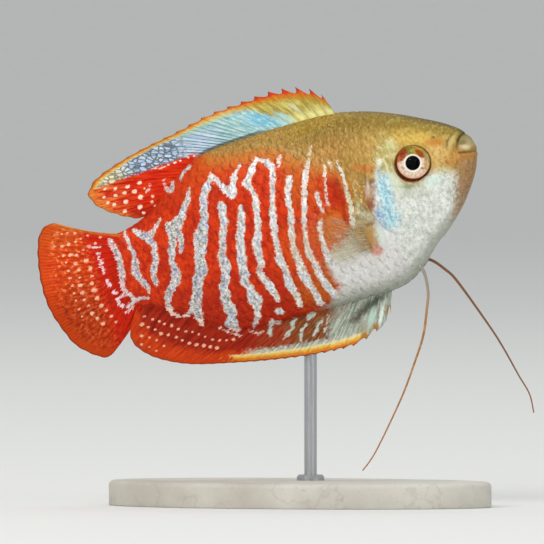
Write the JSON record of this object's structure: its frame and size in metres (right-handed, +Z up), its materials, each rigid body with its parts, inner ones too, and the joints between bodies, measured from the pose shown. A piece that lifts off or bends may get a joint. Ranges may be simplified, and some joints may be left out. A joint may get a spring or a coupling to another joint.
{
  "type": "dwarf gourami",
  "caption": "Still life-size model of a male dwarf gourami, nose up and fins spread, thread-like feelers hanging, held by a rod on an oval base.",
  "frame": {"origin": "centre of the underside of the stand's oval base", "axes": "+Z up, +X the way the fish looks, +Y its left side"},
  "size_m": [0.0795, 0.032, 0.0663],
  "materials": {
    "skin": "wet scaled skin, red-orange with silver-blue bars, olive-gold back and silver cheek",
    "dorsal_membrane": "satin fin membrane, sky-blue streaks under an orange and red margin",
    "red_membrane": "satin fin membrane, orange-red with rows of cream dots",
    "clear_membrane": "clear fin membrane with faint rays",
    "feeler": "satin orange-brown",
    "eye": "clear wet cornea over a cream, red and olive iris",
    "pale_stone": "honed",
    "steel": "brushed"
  },
  "bodies": {
    "root": {"head": "skin", "torso": "skin", "tail_stem": "skin", "dorsal_fin": "dorsal_membrane", "anal_fin": "red_membrane", "tail_fin": "red_membrane", "pectoral_fin_right": "clear_membrane", "pectoral_fin_left": "clear_membrane", "feeler_right": "feeler", "feeler_left": "feeler", "eye_right": "eye", "eye_left": "eye", "stand_base": "pale_stone", "stand_rod": "steel"}
  },
  "joints": []
}
